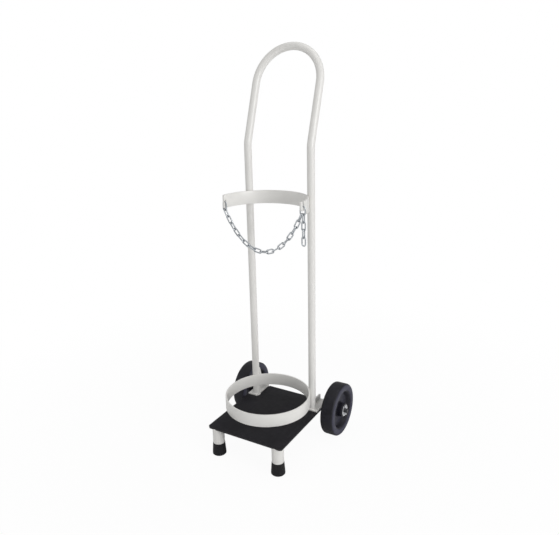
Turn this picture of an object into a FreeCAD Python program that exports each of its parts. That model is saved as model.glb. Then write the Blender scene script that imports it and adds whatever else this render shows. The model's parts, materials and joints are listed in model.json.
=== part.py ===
import FreeCAD, Part
import math
import os
import Sketcher
from FreeCAD import Placement, Rotation, Vector

# Gas bottle trolley for one cylinder. Millimetres, +Z up, +Y towards the wheels,
# +X to the right as seen from the front. Origin on the floor under the middle of the box.

SIZES = {
    # frame tube
    "tube_dia": 20.0,
    "tube_wall": 1.5,
    "tube_x": 93.5,
    "tube_y": 43.0,
    "bend_z": 825.0,
    "bend_radius": 45.0,
    "lean_angle": 18.6,
    "lean_straight": 158.4,
    # base plate and mat
    "plate_half_width": 115.0,
    "plate_front": -171.0,
    "plate_rear": 101.5,
    "plate_bottom": 81.0,
    "plate_thick": 4.0,
    "plate_corner": 8.0,
    "mat_thick": 1.5,
    "mat_overhang": 0.5,
    "mat_gap": 0.5,
    # shoes and gussets of the frame tube
    "shoe_inner": 86.0,
    "shoe_front": 31.0,
    "shoe_rear": 101.5,
    "shoe_thick": 5.0,
    "gusset_x": 88.5,
    "gusset_thick": 5.0,
    "gusset_tip_z": 170.0,
    "gusset_nose": 1.0,
    "gusset_knee_y": 74.0,
    "gusset_knee_z": 104.0,
    # rings
    "ring_outer": 117.0,
    "ring_thick": 4.0,
    "band_height": 35.0,
    "lower_ring_z": 120.0,
    "upper_ring_z": 665.5,
    "arm_length": 6.0,
    "eye_setback": 5.5,
    "eye_z": 683.0,
    "eye_dia": 7.5,
    "slot_width": 8.0,
    "slot_bottom": 686.0,
    "hook_length": 12.0,
    "hook_relief": 11.5,
    "hook_relief_length": 14.0,
    "hook_corner": 8.0,
    "arm_corner": 5.0,
    # front legs and feet
    "leg_inset": 21.0,
    "leg_y": -153.0,
    "leg_dia": 32.0,
    "leg_wall": 2.0,
    "foot_height": 35.0,
    "foot_top_dia": 33.4,
    "foot_bottom_dia": 37.8,
    "foot_stem_height": 20.0,
    "foot_stem_clearance": 0.05,
    # axle and wheels
    "axle_y": 96.5,
    "axle_z": 75.0,
    "axle_dia": 12.0,
    "axle_tail": 8.1,
    "wheel_dia": 150.0,
    "wheel_width": 38.5,
    "tyre_inner_dia": 112.0,
    "tyre_shoulder": 4.5,
    "rim_wall": 3.5,
    "rim_inset": 2.0,
    "web_thick": 7.0,
    "hub_dia": 40.0,
    "hub_length": 44.0,
    "bush_wall": 3.0,
    "running_gap": 0.08,
    "end_gap": 0.4,
    "collar_gap": 1.6,
    "washer_dia": 33.0,
    "washer_thick": 2.5,
    "collar_dia": 22.0,
    "collar_thick": 5.0,
    "pin_dia": 3.0,
    "pin_play": 0.1,
    "pin_offset": 5.0,
    # chain
    "wire_dia": 3.5,
    "link_pitch": 19.2,
    "link_inner_width": 6.0,
    "hook_link_inner_width": 10.0,
    "chain_gap": 0.35,
    "chain_play": 0.2,
}
LOOP_LINKS = 17
TAIL_LINKS = 4

# the rings touch the uprights from the front, so their centre follows from both sizes
RING_Y = "([tube_y] - sqrt(([ring_outer] + [tube_dia] / 2)^2 - [tube_x]^2))"
EYE_Y = "(%s - [arm_length] + [eye_setback])" % RING_Y
PLATE_TOP = "([plate_bottom] + [plate_thick])"
SHOE_TOP = "(%s + [shoe_thick])" % PLATE_TOP
LEG_X = "([plate_half_width] - [leg_inset])"

# each wheel stands outside the plate behind a collar and a washer, and the axle ends past both
COLLAR_X = "([plate_half_width] + [collar_gap])"
WHEEL_X = "(%s + [collar_thick] + [washer_thick] + [end_gap] + [hub_length] / 2)" % COLLAR_X
HUB_OUT = "(%s + [hub_length] / 2 + [end_gap])" % WHEEL_X
AXLE_END = "(%s + [washer_thick] + [axle_tail])" % HUB_OUT
PIN_X = "(%s - [pin_offset])" % AXLE_END

doc = FreeCAD.newDocument("BottleTrolley")
sheet = doc.addObject("Spreadsheet::Sheet", "Sizes")
for row, (alias, value) in enumerate(SIZES.items(), start=1):
    sheet.set("A%d" % row, alias)
    sheet.set("B%d" % row, str(value))
    sheet.setAlias("B%d" % row, alias)
doc.recompute()
PARTS = []


def size(alias):
    return float(sheet.get(alias))


def ref(text):
    """Turns [name] into a reference to the sheet cell with that alias."""
    return text.replace("[", "Sizes.").replace("]", "")


def number(text):
    """Value now of a sheet expression, used to draw a sketch near its final shape."""
    for alias in SIZES:
        text = text.replace("[%s]" % alias, "(%r)" % size(alias))
    return float(FreeCAD.Units.Quantity(text).Value)


def keep(part, label):
    part.Label = label
    PARTS.append(part)
    return part


# Sketch and body helpers


def new_body(label):
    return keep(doc.addObject("PartDesign::Body", label), label)


def origin_plane(body, role):
    return [f for f in body.Origin.OriginFeatures if f.Role == role][0]


def new_sketch(body, role, name, offset="0"):
    sketch = body.newObject("Sketcher::SketchObject", name)
    sketch.AttachmentSupport = [(origin_plane(body, role), "")]
    sketch.MapMode = "FlatFace"
    sketch.setExpression("AttachmentOffset.Base.z", ref(offset))
    return sketch


def bind(sketch, kind, first, first_point, second, second_point, expression):
    index = sketch.addConstraint(
        Sketcher.Constraint(kind, first, first_point, second, second_point, number(expression))
    )
    sketch.setExpression("Constraints[%d]" % index, ref(expression))


def add_circle(sketch, across, up, radius):
    centre = Vector(number(across), number(up), 0)
    circle = sketch.addGeometry(Part.Circle(centre, Vector(0, 0, 1), number(radius)))
    index = sketch.addConstraint(Sketcher.Constraint("Radius", circle, number(radius)))
    sketch.setExpression("Constraints[%d]" % index, ref(radius))
    bind(sketch, "DistanceX", -1, 1, circle, 3, across)
    bind(sketch, "DistanceY", -1, 1, circle, 3, up)
    return circle


def add_polygon(sketch, corners):
    points = [Vector(number(a), number(b), 0) for a, b in corners]
    lines = []
    for i, point in enumerate(points):
        following = points[(i + 1) % len(points)]
        lines.append(sketch.addGeometry(Part.LineSegment(point, following)))
    for i, line in enumerate(lines):
        following = lines[(i + 1) % len(lines)]
        sketch.addConstraint(Sketcher.Constraint("Coincident", line, 2, following, 1))
    for line, (across, up) in zip(lines, corners):
        bind(sketch, "DistanceX", -1, 1, line, 1, across)
        bind(sketch, "DistanceY", -1, 1, line, 1, up)
    return lines


def add_box_outline(sketch, left, right, low, high):
    return add_polygon(sketch, [(left, low), (right, low), (right, high), (left, high)])


def pad(body, sketch, length, midplane=False, name="Pad"):
    feature = body.newObject("PartDesign::Pad", name)
    feature.Profile = sketch
    feature.setExpression("Length", ref(length))
    feature.Midplane = midplane
    body.Tip = feature
    doc.recompute()
    return feature


def pocket(body, sketch, length, midplane=False, reverse=False, name="Pocket"):
    before = body.Shape.Volume
    feature = body.newObject("PartDesign::Pocket", name)
    feature.Profile = sketch
    feature.setExpression("Length", ref(length))
    feature.Midplane = midplane
    feature.Reversed = reverse
    body.Tip = feature
    doc.recompute()
    if body.Shape.Volume > before - 0.01:
        raise RuntimeError("%s removes nothing" % body.Label)
    return feature


def round_edges(body, base, edges, radius, name="Fillet"):
    if not edges:
        raise RuntimeError("%s has no edge to round" % body.Label)
    feature = body.newObject("PartDesign::Fillet", name)
    feature.Base = (base, edges)
    feature.setExpression("Radius", ref(radius))
    body.Tip = feature
    doc.recompute()
    return feature


def edges_where(shape, test):
    return ["Edge%d" % (i + 1) for i, edge in enumerate(shape.Edges) if test(edge)]


def is_vertical(edge):
    if len(edge.Vertexes) != 2:
        return False
    low, high = edge.Vertexes[0].Point, edge.Vertexes[1].Point
    return abs(low.x - high.x) < 0.01 and abs(low.y - high.y) < 0.01


def revolve_about_x(body, corners, centre_z, name="Revolution"):
    """Turns a closed outline, given as (x, radius) pairs, once about a line along X."""
    sketch = new_sketch(body, "XZ_Plane", "Outline")
    lifted = [(across, "%s + %s" % (centre_z, radius)) for across, radius in corners]
    add_polygon(sketch, lifted)
    axis = sketch.addGeometry(Part.LineSegment(Vector(0, number(centre_z), 0), Vector(10, number(centre_z), 0)), True)
    bind(sketch, "DistanceX", -1, 1, axis, 1, "0")
    bind(sketch, "DistanceY", -1, 1, axis, 1, centre_z)
    bind(sketch, "DistanceX", -1, 1, axis, 2, "10")
    bind(sketch, "DistanceY", -1, 1, axis, 2, centre_z)
    feature = body.newObject("PartDesign::Revolution", name)
    feature.Profile = sketch
    feature.ReferenceAxis = (sketch, ["Axis0"])
    feature.Angle = 360.0
    body.Tip = feature
    doc.recompute()
    return feature


def place(part, x="0", y="0", z="0"):
    for axis, text in (("x", x), ("y", y), ("z", z)):
        part.setExpression("Placement.Base." + axis, ref(text))


# Frame


def frame_path():
    """Centre line of the frame tube: up, back at the bend, over in a half circle and down."""
    x, y = size("tube_x"), size("tube_y")
    lean = math.radians(size("lean_angle"))
    radius = size("bend_radius")
    setback = radius * math.tan(lean / 2)
    foot_z = number(PLATE_TOP)
    start_z = size("bend_z") - setback
    back = Vector(0, math.sin(lean), math.cos(lean))

    def side(sign):
        foot = Vector(sign * x, y, foot_z)
        bend_start = Vector(sign * x, y, start_z)
        half = lean / 2
        bend_middle = Vector(sign * x, y + radius * (1 - math.cos(half)), start_z + radius * math.sin(half))
        bend_end = Vector(sign * x, y, size("bend_z")) + back * setback
        top = Vector(sign * x, y, size("bend_z")) + back * (size("lean_straight"))
        return foot, bend_start, bend_middle, bend_end, top

    foot, start, middle, end, top = side(-1)
    foot2, start2, middle2, end2, top2 = side(1)
    crown = (top + top2) * 0.5 + back * x
    edges = [
        Part.makeLine(foot, start),
        Part.Arc(start, middle, end).toShape(),
        Part.makeLine(end, top),
        Part.Arc(top, crown, top2).toShape(),
        Part.makeLine(top2, end2),
        Part.Arc(end2, middle2, start2).toShape(),
        Part.makeLine(start2, foot2),
    ]
    return Part.Wire(edges)


def sweep_along(path, radius, name):
    circle = doc.addObject("Part::Circle", name + "Circle")
    circle.setExpression("Radius", ref(radius))
    circle.setExpression("Placement.Base.x", ref("-[tube_x]"))
    circle.setExpression("Placement.Base.y", ref("[tube_y]"))
    circle.setExpression("Placement.Base.z", ref(PLATE_TOP))
    sweep = doc.addObject("Part::Sweep", name)
    sweep.Sections = [circle]
    sweep.Spine = (path, ["Edge%d" % (i + 1) for i in range(len(path.Shape.Edges))])
    sweep.Solid = True
    sweep.Frenet = False
    return sweep


def make_frame_tube():
    path = doc.addObject("Part::Feature", "FramePath")
    path.Shape = frame_path()
    outside = sweep_along(path, "[tube_dia] / 2", "TubeOutside")
    inside = sweep_along(path, "[tube_dia] / 2 - [tube_wall]", "TubeInside")
    tube = doc.addObject("Part::Cut", "FrameTube")
    tube.Base = outside
    tube.Tool = inside
    keep(tube, "frame_tube")


def make_plate(label, half_width, front, rear, bottom, thick):
    body = new_body(label)
    sketch = new_sketch(body, "XY_Plane", "Outline", bottom)
    add_box_outline(sketch, "-(%s)" % half_width, half_width, front, rear)
    slab = pad(body, sketch, thick)
    front_y = number(front)
    corners = edges_where(slab.Shape, lambda e: is_vertical(e) and abs(e.Vertexes[0].Y - front_y) < 0.01)
    round_edges(body, slab, corners, "[plate_corner]")
    return body


def make_base():
    make_plate("base_plate", "[plate_half_width]", "[plate_front]", "[plate_rear]", "[plate_bottom]", "[plate_thick]")
    mat = make_plate(
        "base_mat",
        "[plate_half_width] + [mat_overhang]",
        "[plate_front] - [mat_overhang]",
        "[plate_rear] + [mat_overhang]",
        PLATE_TOP,
        "[mat_thick]",
    )
    for sign in ("-", ""):
        sketch = new_sketch(mat, "XY_Plane", "ShoeOpening", PLATE_TOP)
        inner = "%s([tube_x] - [tube_dia] / 2 - [mat_gap])" % sign
        outer = "%s([plate_half_width] + 2 * [mat_overhang])" % sign
        front = "[shoe_front] - [mat_gap]"
        rear = "[plate_rear] + 2 * [mat_overhang]"
        add_box_outline(sketch, inner, outer, front, rear)
        pocket(mat, sketch, "[mat_thick]", reverse=True)


def make_shoe(side, sign):
    """Flange on the plate round the foot of the upright, with a web that tapers up behind it."""
    shoe = new_body(side + "_shoe")
    sketch = new_sketch(shoe, "XY_Plane", "Outline", PLATE_TOP)
    add_box_outline(sketch, sign + "[shoe_inner]", sign + "[plate_half_width]", "[shoe_front]", "[shoe_rear]")
    pad(shoe, sketch, "[shoe_thick]")
    notch = new_sketch(shoe, "XY_Plane", "TubeNotch", PLATE_TOP)
    add_circle(notch, sign + "[tube_x]", "[tube_y]", "[tube_dia] / 2")
    pocket(shoe, notch, "[shoe_thick]", reverse=True, name="TubeNotchCut")
    gusset = new_body(side + "_gusset")
    web = new_sketch(gusset, "YZ_Plane", "Outline", sign + "[gusset_x]")
    nose = "[tube_y] + [tube_dia] / 2 + [gusset_nose]"
    corners = [
        ("[tube_y]", SHOE_TOP),
        ("[shoe_rear]", SHOE_TOP),
        ("[shoe_rear]", "[gusset_knee_z]"),
        ("[gusset_knee_y]", "[gusset_knee_z]"),
        (nose, "[gusset_tip_z]"),
        ("[tube_y]", "[gusset_tip_z]"),
    ]
    add_polygon(web, corners)
    pad(gusset, web, "[gusset_thick]", midplane=True)
    seat = new_sketch(gusset, "XY_Plane", "TubeSeat", SHOE_TOP)
    add_circle(seat, sign + "[tube_x]", "[tube_y]", "[tube_dia] / 2")
    pocket(gusset, seat, "[gusset_tip_z] - " + SHOE_TOP, reverse=True, name="TubeSeatCut")


# Rings


def make_lower_ring():
    body = new_body("lower_ring")
    sketch = new_sketch(body, "XY_Plane", "Band", "[lower_ring_z]")
    add_circle(sketch, "0", RING_Y, "[ring_outer]")
    add_circle(sketch, "0", RING_Y, "[ring_outer] - [ring_thick]")
    pad(body, sketch, "[band_height]")


def make_upper_half_ring():
    """Half hoop with a chain eye in its left end and a hook slot, open at the top, in its right end."""
    body = new_body("upper_half_ring")
    sketch = new_sketch(body, "XY_Plane", "Band", "[upper_ring_z]")
    add_circle(sketch, "0", RING_Y, "[ring_outer]")
    add_circle(sketch, "0", RING_Y, "[ring_outer] - [ring_thick]")
    pad(body, sketch, "[band_height]", name="Hoop")
    front = new_sketch(body, "XY_Plane", "FrontHalf", "[upper_ring_z] + [band_height]")
    add_box_outline(front, "-[ring_outer] - 1", "[ring_outer] + 1", RING_Y + " - [ring_outer] - 1", RING_Y)
    pocket(body, front, "[band_height]", name="OpenFront")
    hook_end = RING_Y + " - [hook_length]"
    eye_end = RING_Y + " - [arm_length]"
    for name, sign, end in (("EyeArm", "-", eye_end), ("HookArm", "", hook_end)):
        arm = new_sketch(body, "XY_Plane", name + "Outline", "[upper_ring_z]")
        inner = sign + "([ring_outer] - [ring_thick])"
        add_box_outline(arm, inner, sign + "[ring_outer]", end, RING_Y + " + 0.01")
        pad(body, arm, "[band_height]", name=name)
    eye = new_sketch(body, "YZ_Plane", "Eye", "-[ring_outer]")
    add_circle(eye, EYE_Y, "[eye_z]", "[eye_dia] / 2")
    pocket(body, eye, "[ring_thick] * 3", midplane=True, name="EyeHole")
    slot = new_sketch(body, "YZ_Plane", "Slot", "[ring_outer]")
    half = "[slot_width] / 2"
    round_z = "[slot_bottom] + [slot_width] / 2"
    top = "[upper_ring_z] + [band_height] + 1"
    add_box_outline(slot, RING_Y + " - " + half, RING_Y + " + " + half, round_z, top)
    pocket(body, slot, "[ring_thick] * 3", midplane=True, name="SlotSides")
    bottom = new_sketch(body, "YZ_Plane", "SlotBottom", "[ring_outer]")
    add_circle(bottom, RING_Y, round_z, half)
    pocket(body, bottom, "[ring_thick] * 3", midplane=True, name="SlotRound")
    relief = new_sketch(body, "YZ_Plane", "Relief", "[ring_outer]")
    rear = RING_Y + " + [hook_relief_length]"
    corners = [
        (hook_end + " - 1", "[upper_ring_z] - 1"),
        (rear + " + 6", "[upper_ring_z] - 1"),
        (rear + " + 6", "[upper_ring_z]"),
        (rear, "[upper_ring_z] + [hook_relief]"),
        (hook_end + " - 1", "[upper_ring_z] + [hook_relief]"),
    ]
    add_polygon(relief, corners)
    cut = pocket(body, relief, "[ring_thick] * 6", midplane=True, name="UnderHook")
    hook_y = number(hook_end)
    hook_z = number("[upper_ring_z] + [hook_relief]")

    def at_end(edge, y, z):
        return all(abs(v.Y - y) < 0.01 and abs(v.Z - z) < 0.01 for v in edge.Vertexes)

    low = edges_where(cut.Shape, lambda e: at_end(e, hook_y, hook_z))
    rounded = round_edges(body, cut, low, "[hook_corner]", "HookCorner")
    top_z = number("[upper_ring_z] + [band_height]")
    left_y = number(eye_end)
    small = edges_where(
        rounded.Shape,
        lambda e: at_end(e, hook_y, top_z)
        or (e.CenterOfMass.x < 0 and (at_end(e, left_y, top_z) or at_end(e, left_y, number("[upper_ring_z]")))),
    )
    round_edges(body, rounded, small, "[arm_corner] * 0.6", "ArmCorners")


# Front legs


def make_leg(side, sign):
    leg = new_body(side + "_leg")
    sketch = new_sketch(leg, "XY_Plane", "Section", "[foot_height]")
    add_circle(sketch, sign + LEG_X, "[leg_y]", "[leg_dia] / 2")
    add_circle(sketch, sign + LEG_X, "[leg_y]", "[leg_dia] / 2 - [leg_wall]")
    pad(leg, sketch, "[plate_bottom] - [foot_height]")
    foot = new_body(side + "_rubber_foot")
    outline = new_sketch(foot, "XZ_Plane", "Outline")
    stem = "[leg_dia] / 2 - [leg_wall] - [foot_stem_clearance]"
    corners = [
        ("0", "2.5"),
        ("11", "2.5"),
        ("13", "0"),
        ("[foot_bottom_dia] / 2 - 1.5", "0"),
        ("[foot_bottom_dia] / 2", "1.5"),
        ("[foot_bottom_dia] / 2", "5"),
        ("[foot_top_dia] / 2", "[foot_height] - 1"),
        ("[foot_top_dia] / 2 - 1", "[foot_height]"),
        (stem, "[foot_height]"),
        (stem, "[foot_height] + [foot_stem_height] - 2"),
        (stem + " - 2", "[foot_height] + [foot_stem_height]"),
        ("0", "[foot_height] + [foot_stem_height]"),
    ]
    add_polygon(outline, corners)
    turned = foot.newObject("PartDesign::Revolution", "Turned")
    turned.Profile = outline
    turned.ReferenceAxis = (outline, ["V_Axis"])
    turned.Angle = 360.0
    foot.Tip = turned
    place(foot, sign + LEG_X, "[leg_y]")
    doc.recompute()


# Axle and wheels


def make_axle():
    body = new_body("axle")
    sketch = new_sketch(body, "YZ_Plane", "Section")
    add_circle(sketch, "[axle_y]", "[axle_z]", "[axle_dia] / 2")
    rod = pad(body, sketch, AXLE_END + " * 2", midplane=True)
    ends = edges_where(rod.Shape, lambda e: len(e.Vertexes) == 1)
    bevel = body.newObject("PartDesign::Chamfer", "EndChamfer")
    bevel.Base = (rod, ends)
    bevel.Size = 1.0
    body.Tip = bevel
    doc.recompute()
    for name, sign in (("LeftPinHole", "-"), ("RightPinHole", "")):
        hole = new_sketch(body, "XY_Plane", name, "[axle_z] + [axle_dia]")
        add_circle(hole, sign + PIN_X, "[axle_y]", "[pin_dia] / 2 + [pin_play]")
        pocket(body, hole, "[axle_dia] * 2", name=name + "Cut")


def make_wheel(side, sign):
    """Solid rubber tyre on a moulded centre with a dished web and a long hub."""
    half = "[wheel_width] / 2"
    outer = "[wheel_dia] / 2"
    bore = "[tyre_inner_dia] / 2"
    tyre = new_body(side + "_tyre")
    shoulder = "[tyre_shoulder]"
    corners = [
        ("-(%s) + 1" % half, bore),
        (half + " - 1", bore),
        (half, bore + " + 1"),
        (half, "%s - %s * 1.3" % (outer, shoulder)),
        ("%s - %s * 0.25" % (half, shoulder), "%s - %s * 0.5" % (outer, shoulder)),
        ("%s - %s * 0.8" % (half, shoulder), "%s - %s * 0.1" % (outer, shoulder)),
        ("%s - %s * 1.4" % (half, shoulder), outer),
        ("-(%s - %s * 1.4)" % (half, shoulder), outer),
        ("-(%s - %s * 0.8)" % (half, shoulder), "%s - %s * 0.1" % (outer, shoulder)),
        ("-(%s - %s * 0.25)" % (half, shoulder), "%s - %s * 0.5" % (outer, shoulder)),
        ("-(%s)" % half, "%s - %s * 1.3" % (outer, shoulder)),
        ("-(%s)" % half, bore + " + 1"),
    ]
    revolve_about_x(tyre, corners, "0 * [axle_z]")
    centre = new_body(side + "_wheel_centre")
    rim_edge = half + " - [rim_inset]"
    rim_inner = bore + " - [rim_wall]"
    web = "[web_thick] / 2"
    hub = "[hub_dia] / 2"
    hub_end = "[hub_length] / 2"
    hub_bore = "[axle_dia] / 2 + [running_gap] + [bush_wall]"
    corners = [
        ("-(%s)" % rim_edge, bore),
        ("-(%s)" % rim_edge, rim_inner + " + 1.5"),
        ("-(%s)" % web, rim_inner + " - 4"),
        ("-(%s)" % web, hub + " + 3"),
        ("-(%s) - 3" % web, hub),
        ("-(%s)" % hub_end, hub + " - 1"),
        ("-(%s)" % hub_end, hub_bore),
        (hub_end, hub_bore),
        (hub_end, hub + " - 1"),
        (web + " + 3", hub),
        (web, hub + " + 3"),
        (web, rim_inner + " - 4"),
        (rim_edge, rim_inner + " + 1.5"),
        (rim_edge, bore),
    ]
    revolve_about_x(centre, corners, "0 * [axle_z]")
    bush = new_body(side + "_wheel_bush")
    bush_inner = "[axle_dia] / 2 + [running_gap]"
    corners = [
        ("-(%s)" % hub_end, bush_inner),
        (hub_end, bush_inner),
        (hub_end, hub_bore),
        ("-(%s)" % hub_end, hub_bore),
    ]
    revolve_about_x(bush, corners, "0 * [axle_z]")
    for body in (tyre, centre, bush):
        place(body, sign + WHEEL_X, "[axle_y]", "[axle_z]")


def make_axle_hardware(side, sign):
    pieces = [
        ("outer_washer", HUB_OUT, "[washer_thick]", "[washer_dia]"),
        ("inner_washer", COLLAR_X + " + [collar_thick]", "[washer_thick]", "[washer_dia]"),
        ("axle_collar", COLLAR_X, "[collar_thick]", "[collar_dia]"),
    ]
    for name, start, thick, across in pieces:
        body = new_body("%s_%s" % (side, name))
        sketch = new_sketch(body, "YZ_Plane", "Section", "%s(%s + %s / 2)" % (sign, start, thick))
        add_circle(sketch, "[axle_y]", "[axle_z]", across + " / 2")
        add_circle(sketch, "[axle_y]", "[axle_z]", "[axle_dia] / 2")
        pad(body, sketch, thick, midplane=True)
    make_split_pin(side, sign)


def make_split_pin(side, sign):
    """Straight shank through the axle with a round eye above and spread ends below."""
    shank = doc.addObject("Part::Cylinder", side.capitalize() + "PinShank")
    shank.setExpression("Radius", ref("[pin_dia] / 2"))
    shank.setExpression("Height", ref("[axle_dia] + 10"))
    place(shank, sign + PIN_X, "[axle_y]", "[axle_z] - [axle_dia] / 2 - 7")
    eye = doc.addObject("Part::Torus", side.capitalize() + "PinEye")
    eye.setExpression("Radius1", ref("[pin_dia]"))
    eye.setExpression("Radius2", ref("[pin_dia] * 0.4"))
    eye.Placement.Rotation = Rotation(Vector(0, 1, 0), 90)
    place(eye, sign + PIN_X, "[axle_y]", "[axle_z] + [axle_dia] / 2 + 3 + [pin_dia]")
    pin = doc.addObject("Part::Fuse", side.capitalize() + "SplitPin")
    pin.Base = shank
    pin.Tool = eye
    keep(pin, side + "_split_pin")


# Chain


def make_link(label, inner_width, placement):
    """One welded link: two straight sides and two half rings of round wire."""
    tag = label.title().replace("_", "")
    turn = "([%s] + [wire_dia]) / 2" % inner_width
    reach = "([link_pitch] + [chain_play] - [%s]) / 2" % inner_width
    pieces = []
    for name, sign in (("Left", "-"), ("Right", "")):
        bar = doc.addObject("Part::Cylinder", tag + name)
        bar.setExpression("Radius", ref("[wire_dia] / 2"))
        bar.setExpression("Height", ref("2 * " + reach))
        place(bar, sign + turn, "0", "-" + reach)
        pieces.append(bar)
    for name, sign, angle in (("Top", "", 0), ("Bottom", "-", 180)):
        bend = doc.addObject("Part::Torus", tag + name)
        bend.setExpression("Radius1", ref(turn))
        bend.setExpression("Radius2", ref("[wire_dia] / 2"))
        bend.Angle3 = 180
        bend.Placement.Rotation = Rotation(Vector(0, 1, 0), angle) * Rotation(Vector(1, 0, 0), 90)
        place(bend, "0", "0", sign + reach)
        pieces.append(bend)
    link = doc.addObject("Part::MultiFuse", tag)
    link.Shapes = pieces
    link.Refine = False
    link.Placement = placement
    keep(link, label)


def catenary_slopes(span, rise, count, length):
    """Angles of equal bars hanging between two points, from the balance of their weights."""

    def reach(pull, start):
        angles = [math.atan2(start + i, pull) for i in range(count)]
        return length * sum(map(math.cos, angles)), length * sum(map(math.sin, angles)), angles

    def level(pull):
        low, high = -2.0 * count, float(count)
        for _ in range(80):
            start = (low + high) / 2
            if reach(pull, start)[1] < rise:
                low = start
            else:
                high = start
        return start

    low, high = 0.01, 50.0
    for _ in range(80):
        pull = (low + high) / 2
        if reach(pull, level(pull))[0] < span:
            low = pull
        else:
            high = pull
    return reach(pull, level(pull))[2]


def link_rotation(direction, across):
    """Rotation that takes a link's long axis Z to direction and its width axis X to across."""
    normal = direction.cross(across)
    return Rotation(across, normal, direction, "ZXY")


def make_chain():
    wire, pitch = size("wire_dia"), size("link_pitch")
    centre_x = size("ring_outer") - size("ring_thick") / 2
    turn = (size("link_inner_width") + wire) / 2
    half_band = size("ring_thick") / 2
    inner = size("link_inner_width") / 2
    hook_inner = size("hook_link_inner_width") / 2
    eye_low = size("eye_z") - size("eye_dia") / 2
    first_top = eye_low + size("chain_gap") + inner - math.sqrt(inner**2 - half_band**2) + wire / 2
    behind = max(number(EYE_Y) - number(RING_Y), 0)
    first_x = -math.sqrt(centre_x**2 - behind**2)
    first_mid = Vector(first_x, number(EYE_Y), first_top - (pitch + wire) / 2)
    upright = Rotation()
    make_link("chain_link_01", "link_inner_width", Placement(first_mid, upright))
    hook_top = size("slot_bottom") + size("chain_gap") + hook_inner
    hook_top = hook_top - math.sqrt(hook_inner**2 - half_band**2) + wire / 2
    hook_mid = Vector(centre_x, number(RING_Y), hook_top - (pitch + wire) / 2)
    make_link("chain_hook_link", "hook_link_inner_width", Placement(hook_mid, upright))
    # the loop and the tail both rest in the lower bend of the hook link
    spread = (wire + 0.3) / 2
    bend_centre = hook_mid - Vector(0, 0, pitch / 2 - hook_inner)
    side = math.asin(spread / (hook_inner - wire / 2))
    start = first_mid - Vector(0, 0, pitch / 2)
    finish = bend_centre + Vector(-math.sin(side), 0, -math.cos(side)) * hook_inner
    run = finish - start
    level = Vector(run.x, run.y, 0)
    forward = Vector(level).normalize()
    sideways = Vector(0, 0, 1).cross(forward)
    slopes = catenary_slopes(level.Length, run.z, LOOP_LINKS, pitch)
    point = start
    for i, slope in enumerate(slopes):
        direction = forward * math.cos(slope) + Vector(0, 0, math.sin(slope))
        middle = point + direction * (pitch / 2)
        across = sideways if i % 2 == 0 else direction.cross(sideways)
        label = "chain_link_%02d" % (i + 2)
        make_link(label, "link_inner_width", Placement(middle, link_rotation(direction, across)))
        point = point + direction * pitch
    tail_x = centre_x + spread
    tail_top = bend_centre.z - math.cos(side) * (hook_inner - wire / 2)
    for i in range(TAIL_LINKS):
        middle = Vector(tail_x, number(RING_Y), tail_top - (pitch + wire) / 2 - i * pitch)
        quarter = Rotation(Vector(0, 0, 1), 90 if i % 2 == 0 else 0)
        make_link("tail_link_%02d" % (i + 1), "link_inner_width", Placement(middle, quarter))


# Build and export


def export_parts():
    doc.recompute()
    for item in doc.Objects:
        if "Invalid" in item.State or "Error" in item.State:
            raise RuntimeError("%s: %s" % (item.Label, item.State))
    os.makedirs("parts", exist_ok=True)
    for part in PARTS:
        if part.Shape.isNull() or not part.Shape.isValid() or not part.Shape.Solids:
            raise RuntimeError("%s has no valid solid" % part.Label)
        part.Shape.exportStep("parts/%s.step" % part.Label)


make_frame_tube()
make_base()
make_lower_ring()
make_upper_half_ring()
make_axle()
for side_name, side_sign in (("left", "-"), ("right", "")):
    make_shoe(side_name, side_sign)
    make_leg(side_name, side_sign)
    make_wheel(side_name, side_sign)
    make_axle_hardware(side_name, side_sign)
make_chain()
export_parts()
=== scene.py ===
"""Looks of a gas bottle trolley: powder coat, rubber, plating, weld beads and a plain studio."""

import json
import math

import bpy
from bpy.props import FloatProperty, FloatVectorProperty, PointerProperty
from mathutils import Matrix, Vector


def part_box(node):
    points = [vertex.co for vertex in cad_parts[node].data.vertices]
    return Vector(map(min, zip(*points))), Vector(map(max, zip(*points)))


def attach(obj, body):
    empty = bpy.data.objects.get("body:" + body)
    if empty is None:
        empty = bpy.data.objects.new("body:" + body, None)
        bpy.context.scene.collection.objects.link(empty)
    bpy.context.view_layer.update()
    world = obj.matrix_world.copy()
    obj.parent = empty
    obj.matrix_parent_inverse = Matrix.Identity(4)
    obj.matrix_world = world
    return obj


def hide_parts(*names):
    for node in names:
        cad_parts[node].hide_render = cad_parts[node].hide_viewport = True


bl_info = {
    "name": "Gas Bottle Trolley",
    "version": (1, 0, 0),
    "blender": (4, 5, 0),
    "location": "View3D > Sidebar > Trolley",
    "description": "Dresses the packed trolley and sets up its studio",
    "category": "Object",
}

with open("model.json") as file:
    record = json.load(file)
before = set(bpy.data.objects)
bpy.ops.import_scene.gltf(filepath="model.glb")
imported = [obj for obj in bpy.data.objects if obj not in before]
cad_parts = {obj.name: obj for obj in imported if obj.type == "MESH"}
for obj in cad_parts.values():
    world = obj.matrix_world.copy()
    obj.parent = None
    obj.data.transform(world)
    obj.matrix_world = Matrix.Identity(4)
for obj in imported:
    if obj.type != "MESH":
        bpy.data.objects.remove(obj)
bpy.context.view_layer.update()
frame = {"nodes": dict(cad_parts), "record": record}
NODES = frame["nodes"]
SIDES = {"left": -1, "right": 1}
MM = 0.001


def box_of(node):
    """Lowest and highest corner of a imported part."""
    low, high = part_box(node)
    return Vector(low), Vector(high)


def middle_of(node):
    low, high = box_of(node)
    return (low + high) / 2


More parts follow.
